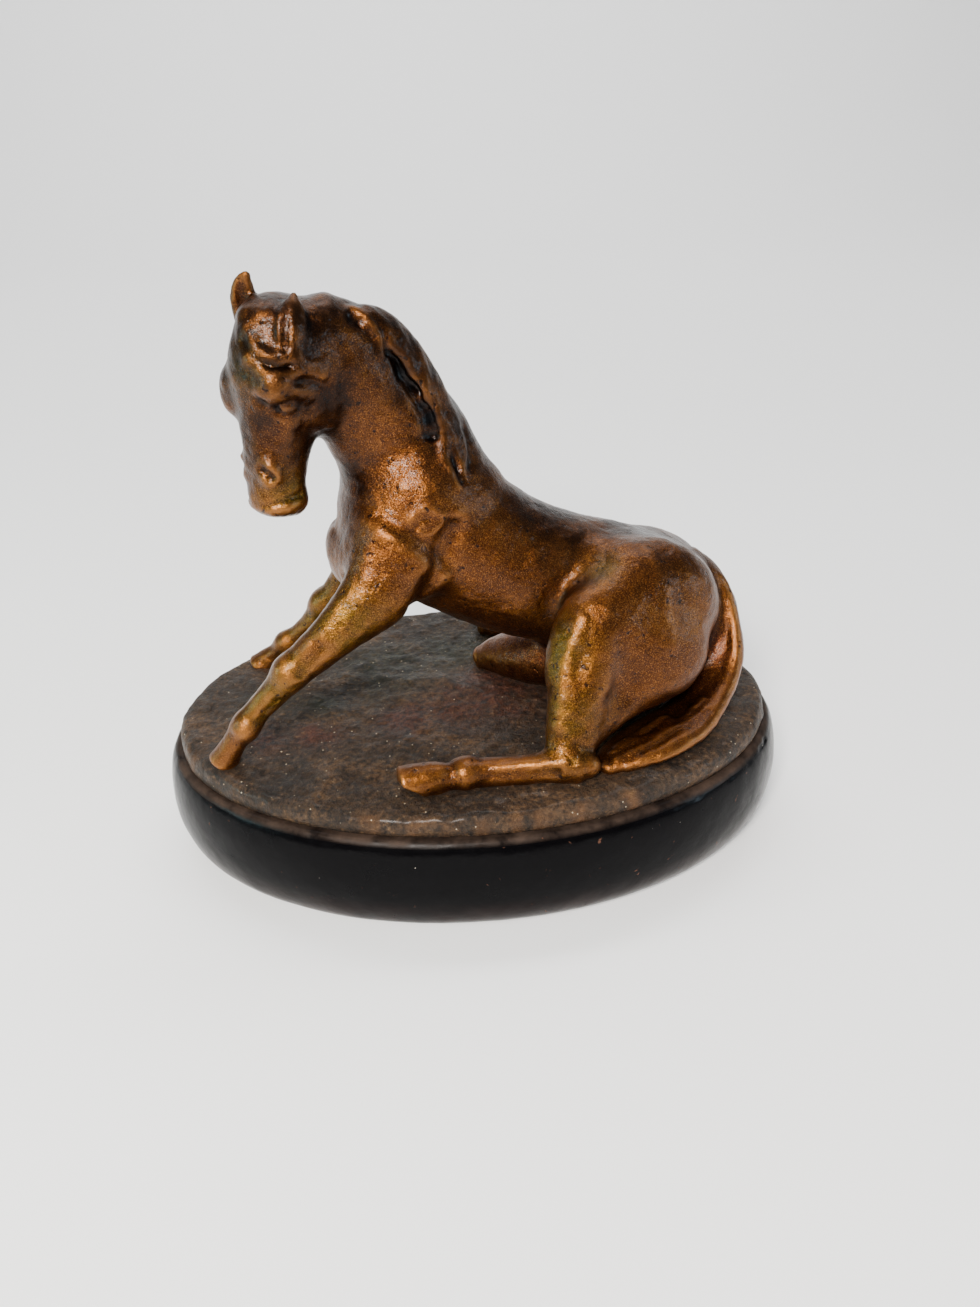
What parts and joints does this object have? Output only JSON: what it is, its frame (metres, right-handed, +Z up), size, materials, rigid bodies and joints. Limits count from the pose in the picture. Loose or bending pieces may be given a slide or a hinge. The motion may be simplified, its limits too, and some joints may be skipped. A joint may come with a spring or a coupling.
{
  "type": "horse statuette",
  "caption": "Bronze figure of a young horse sitting up on its haunches on a cast ground, bolted to an oval black wooden plinth with a baize foot",
  "frame": {"origin": "middle of the underside of the baize foot, on the surface the plinth stands on", "axes": "+X along the plinth's long axis towards the horse's rump, +Y towards its right side, +Z up"},
  "size_m": [0.25, 0.169, 0.2147],
  "materials": {
    "bronze": "aged lacquered bronze, dark in the hollows and rubbed on the muscles",
    "ground_bronze": "rough dull cast bronze",
    "black_wood": "gloss black lacquer, worn at the ledge",
    "baize": "felt",
    "steel": "plain turned steel"
  },
  "bodies": {
    "root": {"baize_pad": "baize", "plinth": "black_wood", "ground_casting": "ground_bronze", "trunk_casting": "bronze", "head_neck_casting": "bronze", "foreleg_near_casting": "bronze", "foreleg_far_casting": "bronze", "hindleg_near_casting": "bronze", "hindleg_far_casting": "bronze", "tail_casting": "bronze", "pin_neck_1": "bronze", "pin_neck_2": "bronze", "pin_foreleg_near": "bronze", "pin_foreleg_far": "bronze", "pin_hindleg_near": "bronze", "pin_hindleg_far": "bronze", "pin_tail": "bronze", "stud_fore_near": "steel", "stud_washer_fore_near": "steel", "stud_nut_fore_near": "steel", "stud_fore_far": "steel", "stud_washer_fore_far": "steel", "stud_nut_fore_far": "steel", "stud_hock_near": "steel", "stud_washer_hock_near": "steel", "stud_nut_hock_near": "steel", "stud_hock_far": "steel", "stud_washer_hock_far": "steel", "stud_nut_hock_far": "steel", "stud_seat": "steel", "stud_washer_seat": "steel", "stud_nut_seat": "steel", "screw_front": "steel", "screw_plug_front": "ground_bronze", "screw_rear": "steel", "screw_plug_rear": "ground_bronze"}
  },
  "joints": []
}
